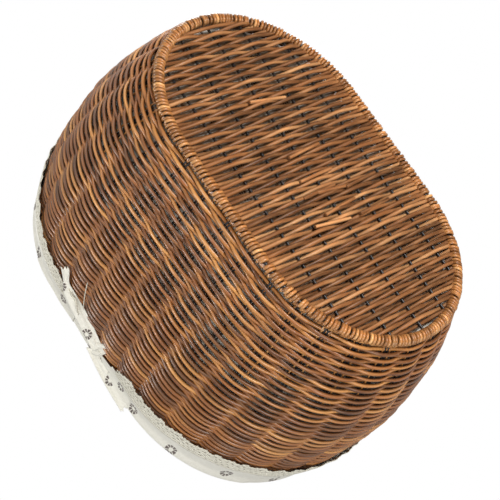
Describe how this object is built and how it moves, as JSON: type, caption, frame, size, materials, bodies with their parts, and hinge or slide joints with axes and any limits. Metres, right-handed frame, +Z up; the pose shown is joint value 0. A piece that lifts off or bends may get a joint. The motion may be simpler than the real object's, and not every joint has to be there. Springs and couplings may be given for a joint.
{
  "type": "wicker pet bed basket",
  "caption": "Oval wicker pet bed basket on a wire frame, with a printed cloth liner tied over the rim and a loose pad.",
  "frame": {"origin": "on the floor under the centre of the oval base", "axes": "+X along the oval, +Y towards the back long side, +Z up out of the opening"},
  "size_m": [0.421, 0.3004, 0.2549],
  "materials": {
    "frame_wire": "gloss",
    "wicker": "satin",
    "liner_cloth": "matte",
    "lace": "matte",
    "pad_cloth": "matte"
  },
  "bodies": {
    "basket": {"base_hoop": "frame_wire", "base_wrap": "wicker", "base_weave_lower": "wicker", "base_weave_upper": "wicker", "rim_hoop": "frame_wire", "rim_wrap": "wicker", "outer_weave_lower": "wicker", "outer_weave_upper": "wicker", "inner_weave_lower": "wicker", "inner_weave_upper": "wicker", "liner_bag": "liner_cloth", "liner_skirt_left": "liner_cloth", "liner_skirt_right": "liner_cloth", "lace_left": "lace", "lace_right": "lace", "base_wire_1": "frame_wire", "base_wire_2": "frame_wire", "base_wire_3": "frame_wire", "base_wire_4": "frame_wire", "base_wire_5": "frame_wire", "front_stake_1": "frame_wire", "front_stake_2": "frame_wire", "front_stake_3": "frame_wire", "front_stake_4": "frame_wire", "back_stake_1": "frame_wire", "back_stake_2": "frame_wire", "back_stake_3": "frame_wire", "back_stake_4": "frame_wire", "left_stake_1": "frame_wire", "left_stake_2": "frame_wire", "left_stake_3": "frame_wire", "left_stake_4": "frame_wire", "left_stake_5": "frame_wire", "left_stake_6": "frame_wire", "left_stake_7": "frame_wire", "left_stake_8": "frame_wire", "left_stake_9": "frame_wire", "left_stake_10": "frame_wire", "left_stake_11": "frame_wire", "left_stake_12": "frame_wire", "right_stake_1": "frame_wire", "right_stake_2": "frame_wire", "right_stake_3": "frame_wire", "right_stake_4": "frame_wire", "right_stake_5": "frame_wire", "right_stake_6": "frame_wire", "right_stake_7": "frame_wire", "right_stake_8": "frame_wire", "right_stake_9": "frame_wire", "right_stake_10": "frame_wire", "right_stake_11": "frame_wire", "right_stake_12": "frame_wire", "front_tie_knot": "liner_cloth", "front_hanging_tail": "liner_cloth", "front_standing_tail": "liner_cloth", "back_tie_knot": "liner_cloth", "back_hanging_tail": "liner_cloth", "back_standing_tail": "liner_cloth"},
    "pad": {"pad": "pad_cloth", "pad_piping": "pad_cloth"}
  },
  "joints": [
    {"name": "pad_lift", "type": "slide", "parent": "basket", "child": "pad", "axis": [0, 0, 1], "range_m": [0, 0.26]}
  ]
}
